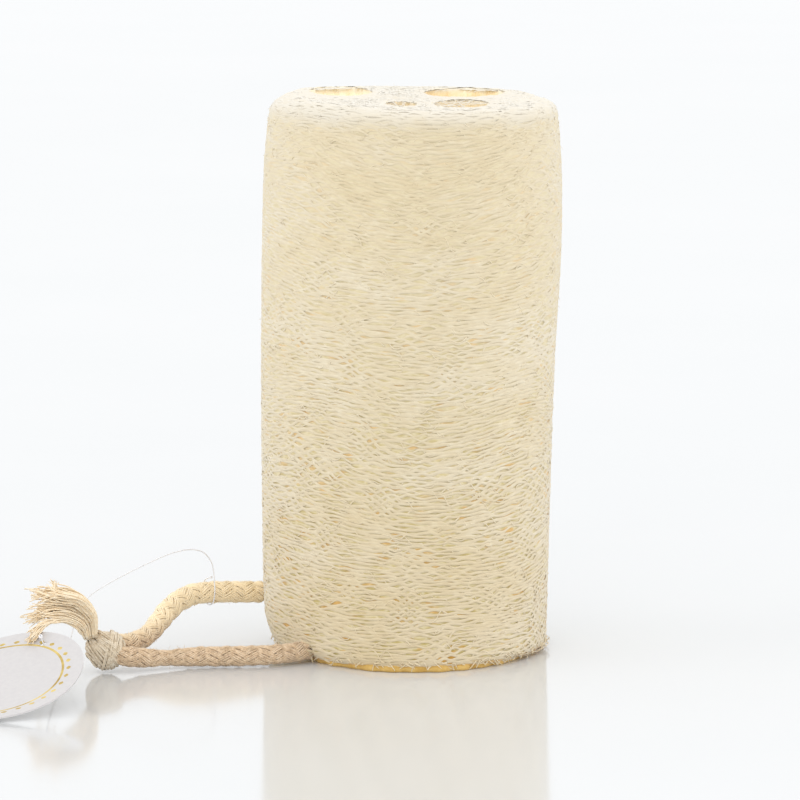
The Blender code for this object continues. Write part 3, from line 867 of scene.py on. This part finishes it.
def make_tag():
    shape = bmesh.new()
    layers = []
    for lift in (0.0, TAG_THICKNESS):
        rows = []
        for i in range(1, TAG_RINGS + 1):
            radius = TAG_DIAMETER / 2 * i / TAG_RINGS
            row = []
            for j in range(TAG_AROUND):
                x = radius * math.cos(TAU * j / TAG_AROUND)
                y = radius * math.sin(TAU * j / TAG_AROUND)
                row.append(shape.verts.new((x, y, tag_height(x) + lift)))
            rows.append(row)
        middle = shape.verts.new((0, 0, tag_height(0) + lift))
        layers.append((rows, middle))
    for number, (rows, middle) in enumerate(layers):
        for j in range(TAG_AROUND):
            k = (j + 1) % TAG_AROUND
            loops = [(middle, rows[0][j], rows[0][k])]
            loops += [(a[j], b[j], b[k], a[k]) for a, b in zip(rows, rows[1:])]
            for loop in loops:
                shape.faces.new(loop if number else loop[::-1])
    low = layers[0][0][-1]
    high = layers[1][0][-1]
    for j in range(TAG_AROUND):
        k = (j + 1) % TAG_AROUND
        shape.faces.new((low[j], low[k], high[k], high[j]))
    mesh = bpy.data.meshes.new("round_tag")
    shape.to_mesh(mesh)
    shape.free()
    tag = bpy.data.objects.new("round_tag", mesh)
    bpy.context.scene.collection.objects.link(tag)
    hole = TAG_DIAMETER / 2 - TAG_HOLE_INSET
    bpy.ops.mesh.primitive_cylinder_add(
        vertices=20, radius=TAG_HOLE_RADIUS, depth=0.1, location=(hole, 0, 0)
    )
    punch = bpy.context.object
    cut = tag.modifiers.new("hole", "BOOLEAN")
    cut.operation = "DIFFERENCE"
    cut.object = punch
    cut.solver = "EXACT"
    graph = bpy.context.evaluated_depsgraph_get()
    tag.data = bpy.data.meshes.new_from_object(tag.evaluated_get(graph))
    tag.modifiers.clear()
    bpy.data.objects.remove(punch, do_unlink=True)
    tag.data.materials.clear()
    tag.data.materials.append(paper_material())
    tag.data.shade_smooth()
    tag.data.set_sharp_from_angle(angle=math.radians(50))
    tag.rotation_euler.z = TAG_RISE_ANGLE
    tag.location = Vector((*TAG_CENTRE, 0)) * MM
    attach(tag, "root")
    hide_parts("paper_tag")
    return tag


tag = make_tag()

# Nylon thread with small knots
thread_path = smooth_path(THREAD_ROUTE, 0.8 * MM)
thread_radius = np.full((1, 1), THREAD_DIAMETER / 2)
thread_up = carried_frames(thread_path)[1]
thread_parts = [tubes(thread_path[None], thread_radius, thread_up[None], 6)]
knot_rng = np.random.default_rng(9)
for place, size, loops in ((THREAD_ROUTE[0], 0.42, 4), (THREAD_ROUTE[-1], 0.28, 2)):
    for loop in range(loops):
        axis = unit(knot_rng.normal(size=3))
        side = unit(np.cross(axis, (0.3, 0.2, 0.9)))
        out = outward(np.linspace(0, TAU * 0.94, 14), side, np.cross(axis, side))
        line = np.array(place) * MM + out * size * MM
        thread_parts.append(tubes(line[None], thread_radius, out[None], 5))
thread = mesh_piece("nylon_thread", joined(thread_parts), nylon_material(), "tag_thread")

# Sponge core: the shaded layer that shows between the fibres
CORE_DEPTH = 0.68 * MM
CORE_AROUND = 240
CORE_INNER = 30 * MM
CORE_BASE_RUNS = 26
CORE_SIDE_RUNS = 130
CORE_TOP_RUNS = 38
CORE_CLEAR = ROPE_DIAMETER / 2 + 0.3 * MM
FIBRE_CLEAR = ROPE_DIAMETER / 2 + 0.5 * MM
LOW_RUN = RIM_RADIUS - RIM_RADIUS * math.pi / 2
HIGH_RUN = SPONGE_HEIGHT - RIM_RADIUS + RIM_RADIUS * math.pi / 2
fibre = fibre_material()
core_mat = core_material()
lining = lining_material(
    "cavity_lining", [(0.32, (228, 205, 156)), (0.5, (233, 216, 178)), (0.68, (237, 226, 200))], 0.22
)
# A paler copy with a stronger glow for the left tube: more painted light, since its deep far wall gets less
# light
stronger_glow_lining = lining_material(
    "stronger_glow_lining", [(0.32, (238, 223, 190)), (0.5, (242, 231, 206)), (0.68, (245, 237, 220))], 0.28
)


def make_core():
    theta = np.linspace(0, TAU, CORE_AROUND, endpoint=False)
    base_runs = np.linspace(LOW_RUN - CORE_INNER, LOW_RUN, CORE_BASE_RUNS, endpoint=False)
    side_runs = np.linspace(LOW_RUN, HIGH_RUN, CORE_SIDE_RUNS, endpoint=False)
    top_runs = np.linspace(HIGH_RUN, HIGH_RUN + CORE_INNER, CORE_TOP_RUNS)
    around, run = np.meshgrid(theta, np.concatenate([base_runs, side_runs, top_runs]))
    rough = waves(21, 14, 60, 3.2 * MM)(around, run) * 0.09 * MM
    rough = rough + 0.12 * MM * np.clip(1 - run / (100 * MM), 0, 1)
    rough = rough - 0.14 * MM * np.cos(around) ** 6
    foot = np.clip(1 - np.abs(run - LOW_RUN - 2 * MM) / (2.5 * MM), 0, 1)
    cut_face = np.clip((run - HIGH_RUN + 2 * MM) / (3 * MM), 0, 1)
    points, _ = skin(around, run, CORE_DEPTH + rough - 0.45 * MM * foot - 0.2 * MM * cut_face)
    points = clear_rope(points, CORE_CLEAR)
    quads = ring_faces(np.arange(run.size).reshape(run.shape))
    flat = points.reshape(-1, 3)
    x, y, z = flat[quads].mean(axis=1).T
    level = (z > SPONGE_HEIGHT - CORE_DEPTH - 1.5 * MM) | (z < CORE_DEPTH + 1.5 * MM)
    drop = np.zeros(len(quads), bool)
    for holes, end in ((CAVITIES[:3], z < SPONGE_HEIGHT / 2), (MOUTHS, z > SPONGE_HEIGHT / 2)):
        for hole in holes:
            drop |= level & end & (cavity_share(x, y, hole) < 1)
    return flat, quads[~drop]


def close_middle(points, quads):
    """Fills the small hole left at the middle of both cut faces."""
    last = CORE_BASE_RUNS + CORE_SIDE_RUNS + CORE_TOP_RUNS - 1
    for row, turned in ((0, True), (last, False)):
        ring = np.arange(row * CORE_AROUND, (row + 1) * CORE_AROUND)
        quads = np.concatenate([quads, fan(ring, len(points), turned)])
        points = np.vstack([points, points[ring].mean(axis=0)])
    return points, quads


sponge_piece("sponge_core", close_middle(*make_core()), core_mat, sharp=None)

# Amber rim where light comes through the base, deepest at the front
GLOW_AROUND = 360
GLOW_MIDDLE = math.radians(-88)
GLOW_FULL = math.radians(18)
GLOW_FADE = math.radians(34)
GLOW_DRAW_IN = 2.6 * MM
GLOW_ROWS = ((2.4, 2.4), (1.2, 1.6), (0.6, 0.8), (0.7, 0.0), (5.0, 0.0))


def base_rim():
    turn = np.linspace(0, TAU, GLOW_AROUND, endpoint=False)
    place, normal = skin(turn, np.full(GLOW_AROUND, RIM_RADIUS), np.zeros(GLOW_AROUND))
    uneven = waves(91, 12, 44, 10 * MM)(turn, np.zeros(GLOW_AROUND)) * 0.4 * MM
    front = np.abs(np.angle(np.exp(1j * (turn - GLOW_MIDDLE))))
    aside = np.clip((front - GLOW_FULL) / GLOW_FADE, 0, 1) ** 1.2
    rows = []
    for inset, z in GLOW_ROWS:
        row = place - normal * (inset * MM + uneven + GLOW_DRAW_IN * aside)[:, None]
        row[:, 2] = z * MM
        rows.append(row)
    points = clear_rope(np.array(rows), CORE_CLEAR)
    index = np.arange(points.size // 3).reshape(points.shape[:2])
    return points.reshape(-1, 3), ring_faces(index, turned=True)


sponge_piece("base_glow", base_rim(), glow_material(), sharp=None)

# Cavity walls with upright ribs
WALL_AROUND = 140
WALL_LIP_END = 149.1
RIB_STEPS = 9
RIB_RADIUS = 0.15 * MM
WALLS = [
    ("left_tube_wall", 200, stronger_glow_lining),
    ("back_tube_wall", 200, lining),
    ("front_tube_wall", 140, lining),
    ("pit_wall", 70, lining),
]


def opening(z):
    """How far a tube has opened into its mouth, at a height in millimetres."""
    return np.clip((z - MOUTH_START) / MOUTH_RISE, 0, 1) ** MOUTH_POWER


def cavity_wall(cavity, mouth, seed):
    """A tube's wall that opens into its wider mouth, with a lip folded down outside."""
    bottom = cavity[3]
    rng = np.random.default_rng(seed)
    shaft = np.linspace(bottom or CORE_DEPTH / MM, MOUTH_START, 24, endpoint=False)
    flare = np.linspace(MOUTH_START, MOUTH_START + MOUTH_RISE, 14)
    levels = np.concatenate([shaft, flare, [WALL_LIP_END]])
    turn = np.linspace(0, TAU, WALL_AROUND, endpoint=False)
    ribs = sum(rng.uniform(0.08, 0.3) * np.sin(k * turn + rng.uniform(0, TAU)) for k in (7, 11, 17, 26, 37))
    uneven = sum(rng.uniform(0.1, 0.35) * np.sin(k * turn + rng.uniform(0, TAU)) for k in (3, 5, 8, 13))
    rows = []
    for number, z in enumerate(levels):
        folded = number == len(levels) - 1
        x, y = hole_edge(cavity, 0.5 + ribs + 0.1 * rng.normal(size=WALL_AROUND), turn)
        lip = 1.5 if folded else 0.15
        mx, my = hole_edge(mouth, lip + 0.4 * ribs + uneven, turn)
        wide = 1.0 if folded else opening(z)
        x = x + (mx - x) * wide
        y = y + (my - y) * wide
        short = np.clip(RIM_RADIUS - edge_share(x, y), 0, RIM_RADIUS)
        fall = RIM_RADIUS - np.sqrt(RIM_RADIUS**2 - short**2)
        height = z * MM + (0.25 * MM * uneven + left_lift(x) - fall) * wide
        rows.append(np.stack([x, y, height], axis=1))
    points = np.concatenate(rows)
    index = np.arange(len(points)).reshape(len(rows), WALL_AROUND)
    quads = ring_faces(index, turned=True)
    if bottom:
        quads = np.concatenate([quads, fan(index[0], len(points))])
        points = np.vstack([points, rows[0].mean(axis=0)])
    return points, quads


def cavity_ribs(cavity, mouth, count, seed):
    """Upright fibres along a cavity's wall near its mouth."""
    rng = np.random.default_rng(seed)
    t = np.linspace(0, 1, RIB_STEPS)
    hx, hy = from_cavity(0.0, 0.0, cavity)
    lines = []
    ups = []
    for _ in range(count):
        turn = rng.uniform(0, TAU)
        drift = rng.normal() * 0.12
        top = rng.uniform(142, 149.4)
        z = np.maximum(top - rng.uniform(4, 18) * t, cavity[3] + 1)
        angle = turn + drift * t + 0.03 * np.sin(6 * t + turn)
        x, y = hole_edge(cavity, 0.2 - 0.25 * rng.random(), angle)
        mx, my = hole_edge(mouth, -0.1, angle)
        wide = opening(z)
        x = x + (mx - x) * wide
        y = y + (my - y) * wide
        lines.append(np.stack([x, y, z * MM + left_lift(x) * wide], axis=1))
        inward = np.stack([hx - x, hy - y, np.full(RIB_STEPS, 4 * MM)], axis=1)
        ups.append(unit(inward))
    return tubes(np.array(lines), np.full((1, 1), RIB_RADIUS), np.array(ups), 3, 0.6)


for i, (name, rib_count, mat) in enumerate(WALLS):
    wall = cavity_wall(CAVITIES[i], MOUTHS[i], 30 + i)
    ribs = cavity_ribs(CAVITIES[i], MOUTHS[i], rib_count, 40 + i)
    sponge_piece(name, joined([wall, ribs]), mat)

# Outer net: wavy fibres, mostly level, that cross and join at small angles
STRANDS = 158
STRAND_STEPS = 340
STRAND_WAVES = 44
STRAND_DEPTH = 0.52 * MM
STRAND_THICK = (0.4 * MM, 0.54 * MM)
NET_RUNS = (LOW_RUN + 1 * MM, HIGH_RUN + 3 * MM)
FIBRE_FLOOR = 0.25 * MM
flow = waves(5, 9, 4, 70 * MM)


def net_paths(count, steps, length, tilt, wiggle, depth, seed):
    rng = np.random.default_rng(seed)
    theta = rng.uniform(0, TAU, count)
    run = rng.uniform(*NET_RUNS, count)
    step = rng.uniform(*length, count) / (steps - 1)
    family = rng.choice([-1, 1], count) * rng.uniform(0.3, 1.3, count) * tilt
    bend_length = rng.uniform(3.4, 9, count) * MM
    bend_phase = rng.uniform(0, TAU, count)
    weave_length = rng.uniform(3, 7, count) * MM
    weave_phase = rng.uniform(0, TAU, count)
    lie = rng.uniform(*depth, count)
    lines = []
    ups = []
    for k in range(steps):
        t = k / (steps - 1)
        along = k * step
        weave = 0.15 * MM * np.sin(TAU * along / weave_length + weave_phase)
        dip = 0.6 * MM * (max(0.0, abs(2 * t - 1) - 0.6) / 0.4) ** 2
        sunk = 0.13 * MM * np.clip((run - 30 * MM) / (90 * MM), 0, 1)
        place, normal = skin(theta, run, lie + weave * 0.5 + dip + sunk)
        lines.append(place)
        ups.append(normal)
        angle = 0.16 * flow(theta, run) + 0.14 * np.cos(theta) + family
        angle = angle + wiggle * np.sin(TAU * along / bend_length + bend_phase)
        theta = theta + step * np.cos(angle) / (38 * MM)
        run = run + step * np.sin(angle)
    lines = clear_rope(np.stack(lines, axis=1), FIBRE_CLEAR)
    lines[:, :, 2] = np.maximum(lines[:, :, 2], FIBRE_FLOOR)
    return lines, np.stack(ups, axis=1)


def net_piece(name, count, steps, length, tilt, wiggle, depth, thick, seed):
    rng = np.random.default_rng(seed + 500)
    lines, ups = net_paths(count, steps, length, tilt, wiggle, depth, seed)
    taper = np.interp(np.linspace(0, 1, steps), [0, 0.15, 0.85, 1], [0.4, 1, 1, 0.4])
    radius = rng.uniform(*thick, (count, 1)) * taper
    sponge_piece(name, tubes(lines, radius, ups, 3, 0.45), fibre)


def strand_rows(first, last):
    """Strands round the whole sponge: neighbours wave against each other, so they meet and part."""
    turn = np.linspace(0, TAU, STRAND_STEPS)
    slip = waves(71, 16, 17, 11 * MM)
    breadth = waves(72, 12, 11, 13 * MM)
    ripple = waves(73, 12, 40, 7 * MM)
    spacing = (HIGH_RUN - LOW_RUN + 2 * MM) / STRANDS
    shift = np.random.default_rng(74).uniform(-0.9, 0.9, STRANDS)
    lines = []
    ups = []
    for i in range(first, last):
        run = LOW_RUN + 1.2 * MM + spacing * i
        level = np.full(STRAND_STEPS, run)
        ends = np.clip(np.minimum(run - LOW_RUN, HIGH_RUN - run) / (16 * MM), 0, 1)
        height = spacing * (0.24 + 0.16 * breadth(turn, level))
        wave = np.sin(STRAND_WAVES * turn + i * math.pi + shift[i] + 3.6 * slip(turn, level))
        level = level + height * wave + 0.2 * MM * ripple(turn, level + i * 1.7 * MM)
        valley = 2.4 * MM * (1 - np.cos(2 * (turn + math.pi / 2))) / 2
        level = level + ends * (1.6 * MM * flow(turn, level) + valley - 1 * MM)
        sunk = 0.05 * MM * np.clip((run - 40 * MM) / (80 * MM), 0, 1)
        sunk = sunk + 0.3 * MM * np.clip((run - HIGH_RUN + 1 * MM) / (2.5 * MM), 0, 1)
        depth = STRAND_DEPTH + sunk + 0.05 * MM * np.sin(STRAND_WAVES / 2 * turn + i * 2.1)
        place, normal = skin(turn, level, depth)
        lines.append(place)
        ups.append(normal)
    lines = clear_rope(np.array(lines), FIBRE_CLEAR)
    lines[:, :, 2] = np.maximum(lines[:, :, 2], FIBRE_FLOOR)
    return lines, np.array(ups)


def strand_piece(name, first, last, seed, flat):
    rng = np.random.default_rng(seed)
    lines, ups = strand_rows(first, last)
    thick = waves(seed + 3, 14, 30, 9 * MM)
    turn = np.linspace(0, TAU, STRAND_STEPS)[None]
    rows = (np.arange(first, last) * MM)[:, None]
    radius = rng.uniform(*STRAND_THICK, (last - first, 1)) * (1 + 0.22 * thick(turn, rows))
    sponge_piece(name, tubes(lines, radius, ups, 3, flat), fibre)


net_piece(
    "net_low",
    count=700,
    steps=12,
    length=(6 * MM, 14 * MM),
    tilt=0.35,
    wiggle=0.4,
    depth=(0.55 * MM, 0.66 * MM),
    thick=(0.2 * MM, 0.34 * MM),
    seed=1,
)
strand_piece("net_strands_lower", 0, STRANDS // 2, seed=81, flat=0.3)
strand_piece("net_strands_upper", STRANDS // 2, STRANDS, seed=82, flat=0.2)
net_piece(
    "net_outer",
    count=2000,
    steps=10,
    length=(3 * MM, 8 * MM),
    tilt=0.4,
    wiggle=0.6,
    depth=(0.36 * MM, 0.5 * MM),
    thick=(0.14 * MM, 0.24 * MM),
    seed=3,
)

# Cut faces: fibres that run round the cavities and the edge
FACE_REACH = (38 * MM, 34 * MM)
FACE_DEPTH = (0.34 * MM, 0.56 * MM)
FACE_EDGE = 2 * MM
FACE_ROUNDING = 4.8 * MM


def nearness(x, y, holes):
    """Distance to the nearest hole or to the edge, in metres."""
    values = [edge_share(x, y) * 0.8]
    for cavity in holes:
        values.append((cavity_share(x, y, cavity) - 1) * min(cavity[1]) * MM)
    return np.min(values, axis=0)


def face_paths(holes, count, steps, length, scatter, seed):
    rng = np.random.default_rng(seed)
    x = rng.uniform(-1, 1, count * 5) * FACE_REACH[0]
    y = rng.uniform(-1, 1, count * 5) * FACE_REACH[1]
    good = np.where(nearness(x, y, holes) > 0.2 * MM)[0][:count]
    x = x[good]
    y = y[good]
    count = len(x)
    step = rng.uniform(*length, count) / (steps - 1)
    turn = rng.normal(size=count) * scatter
    way = rng.choice([-1, 1], count)
    bend = rng.uniform(0, TAU, count)
    lie = rng.uniform(*FACE_DEPTH, count)
    lines = []
    for k in range(steps):
        for cavity in holes:
            share = cavity_share(x, y, cavity, 0.3)
            a, b = cavity_place(x, y, cavity)
            grow = np.where(share < 1, 1 / np.maximum(share, 0.05), 1)
            nx, ny = from_cavity(a * grow, b * grow, cavity)
            x = np.where(share < 1, nx, x)
            y = np.where(share < 1, ny, y)
        inset = edge_share(x, y)
        back = 1 - np.maximum(0, FACE_EDGE - inset) / FACE_REACH[0]
        x = x * back
        y = y * back
        inset = edge_share(x, y)
        fall = np.maximum(0, FACE_ROUNDING - inset) ** 2 / (7 * MM)
        near = np.exp(-np.maximum(nearness(x, y, holes), 0) / (1.2 * MM)) * 0.25 * MM
        z = SPONGE_HEIGHT - lie - fall - near + 0.07 * MM * np.sin(bend + 1.3 * k)
        lines.append(np.stack([x, y, np.minimum(z, SPONGE_HEIGHT)], axis=1))
        small = 0.3 * MM
        gx = nearness(x + small, y, holes) - nearness(x - small, y, holes)
        gy = nearness(x, y + small, holes) - nearness(x, y - small, holes)
        angle = np.arctan2(gx * way, -gy * way) + turn + 0.5 * np.sin(bend + 0.9 * k)
        x = x + step * np.cos(angle)
        y = y + step * np.sin(angle)
    return np.stack(lines, axis=1)


def face_piece(name, holes, count, steps, length, scatter, thick, seed, flip=False):
    lines = face_paths(holes, count, steps, length, scatter, seed)
    if flip:
        lines[:, :, 2] = np.maximum(SPONGE_HEIGHT - lines[:, :, 2], 0.3 * MM)
        lines = clear_rope(lines, FIBRE_CLEAR)
    else:
        lines[:, :, 2] += left_lift(lines[:, :, 0])
    ups = np.zeros_like(lines) + np.array([0.0, 0.0, -1.0 if flip else 1.0])
    radius = np.random.default_rng(seed + 9).uniform(*thick, (len(lines), 1))
    sponge_piece(name, tubes(lines, radius * np.linspace(1, 0.6, steps)[None], ups, 3, 0.26), fibre)


def crossing_fibres(mouth, count, seed):
    """Fibres left across a cavity's mouth."""
    rng = np.random.default_rng(seed)
    t = np.linspace(0, 1, 9)
    bow = np.sin(math.pi * t)
    reach = 1.12 * np.array(mouth[1])
    lines = []
    for _ in range(count):
        start = rng.uniform(0, TAU)
        end = start + rng.uniform(1.2, 3.6)
        first = reach * (math.cos(start), math.sin(start))
        last = reach * (math.cos(end), math.sin(end))
        a = first[0] + (last[0] - first[0]) * t + rng.normal() * 0.6 * bow
        b = first[1] + (last[1] - first[1]) * t + rng.normal() * 0.9 * bow
        x, y = from_cavity(a, b, mouth)
        sag = rng.uniform(0.2, 1.6) * bow + 0.12 * np.sin(9 * t + start)
        lines.append(np.stack([x, y, SPONGE_HEIGHT - (0.5 + sag) * MM + left_lift(x)], axis=1))
    lines = np.array(lines)
    radius = rng.uniform(0.1, 0.24, (count, 1)) * MM
    return tubes(lines, radius, np.zeros_like(lines) + np.array([0.0, 0.0, 1.0]), 3, 0.7)


face_piece(
    "top_fibres",
    MOUTHS,
    count=1400,
    steps=9,
    length=(4 * MM, 13 * MM),
    scatter=0.4,
    thick=(0.24 * MM, 0.4 * MM),
    seed=51,
)
across = joined([crossing_fibres(MOUTHS[2], 17, 54), crossing_fibres(MOUTHS[3], 9, 55)])
sponge_piece("crossing_fibres", across, fibre)
face_piece(
    "base_fibres",
    CAVITIES[:3],
    count=450,
    steps=8,
    length=(5 * MM, 15 * MM),
    scatter=0.5,
    thick=(0.14 * MM, 0.26 * MM),
    seed=52,
    flip=True,
)

# Loose hairs that stand off the surface
HAIR_STEPS = 6


def hairs(name, count, runs, length, thick, lean, seed, rises=(-0.6, 0.6)):
    rng = np.random.default_rng(seed)
    theta = rng.uniform(0, TAU, count)
    run = rng.uniform(*runs, count)
    place, normal = skin(theta, run, np.full(count, 0.5 * MM))
    level = np.stack([-np.sin(theta), np.cos(theta), np.zeros(count)], axis=1)
    long = rng.uniform(*length, count)[:, None]
    way = rng.choice([-1, 1], (count, 1))
    rise = rng.uniform(*rises, (count, 1))
    curl = rng.uniform(-0.6, 0.6, (count, 3))
    lines = []
    for t in np.linspace(0, 1, HAIR_STEPS):
        out = normal * lean * t * (1 - 0.45 * t)
        lift = np.array([0, 0, 1.0]) * rise * t
        lines.append(place + long * (out + level * way * t * 0.8 + lift + curl * t * t * 0.6))
    lines = np.stack(lines, axis=1)
    lines[:, :, 2] = np.maximum(lines[:, :, 2], 0.15 * MM)
    ups = np.repeat(normal[:, None, :], HAIR_STEPS, axis=1)
    radius = rng.uniform(*thick, (count, 1)) * np.linspace(1, 0.5, HAIR_STEPS)[None]
    sponge_piece(name, tubes(lines, radius, ups, 3), fibre)


HAIR_THICK = (0.05 * MM, 0.08 * MM)
SIDE_RUNS = (4 * MM, 144 * MM)
RIM_RUNS = (140 * MM, HIGH_RUN - 2 * MM)
BASE_RUNS = (0, 3 * MM)
hairs("side_hairs", 360, SIDE_RUNS, (0.5 * MM, 1.4 * MM), HAIR_THICK, lean=0.5, seed=61)
hairs("rim_hairs", 320, RIM_RUNS, (0.5 * MM, 1.5 * MM), HAIR_THICK, lean=0.6, seed=62)
hairs("base_fringe", 340, BASE_RUNS, (0.8 * MM, 2.2 * MM), (0.16 * MM, 0.3 * MM), 0.35, 63, (-1.0, -0.1))

# Floor and light
FLOOR_DROP = 0.1 * MM
SKY_COLOUR = (0.985, 0.992, 1.0, 1.0)
SKY_STRENGTH = 1.12
LIGHT_AIM = (0, 0, 0.07)

floor_mesh = bpy.data.meshes.new("floor")
floor_mesh.from_pydata([(-6, -4, 0), (6, -4, 0), (6, 10, 0), (-6, 10, 0)], [], [(0, 1, 2, 3)])
floor = bpy.data.objects.new("floor", floor_mesh)
bpy.context.scene.collection.objects.link(floor)
floor.location.z = -FLOOR_DROP
floor.data.materials.append(floor_material())

world = bpy.data.worlds.new("studio")
bpy.context.scene.world = world
world.use_nodes = True
sky = world.node_tree.nodes["Background"]
sky.inputs["Color"].default_value = SKY_COLOUR
sky.inputs["Strength"].default_value = SKY_STRENGTH


def soft_light(name, place, size, power, colour):
    data = bpy.data.lights.new(name, "AREA")
    data.shape = "DISK"
    data.size = size
    data.energy = power
    data.color = colour
    item = bpy.data.objects.new(name, data)
    bpy.context.scene.collection.objects.link(item)
    item.location = place
    item.rotation_euler = (Vector(LIGHT_AIM) - Vector(place)).to_track_quat("-Z", "Y").to_euler()


soft_light("key", (-0.2, -1.7, 0.7), 1.4, 6.0, (1.0, 0.985, 0.965))
soft_light("left", (-1.7, -0.4, 0.5), 1.3, 5.7, (1.0, 0.985, 0.965))
soft_light("right", (1.7, -0.2, 0.5), 1.3, 7.1, (1.0, 0.99, 0.98))

bpy.context.scene.view_settings.view_transform = "Standard"
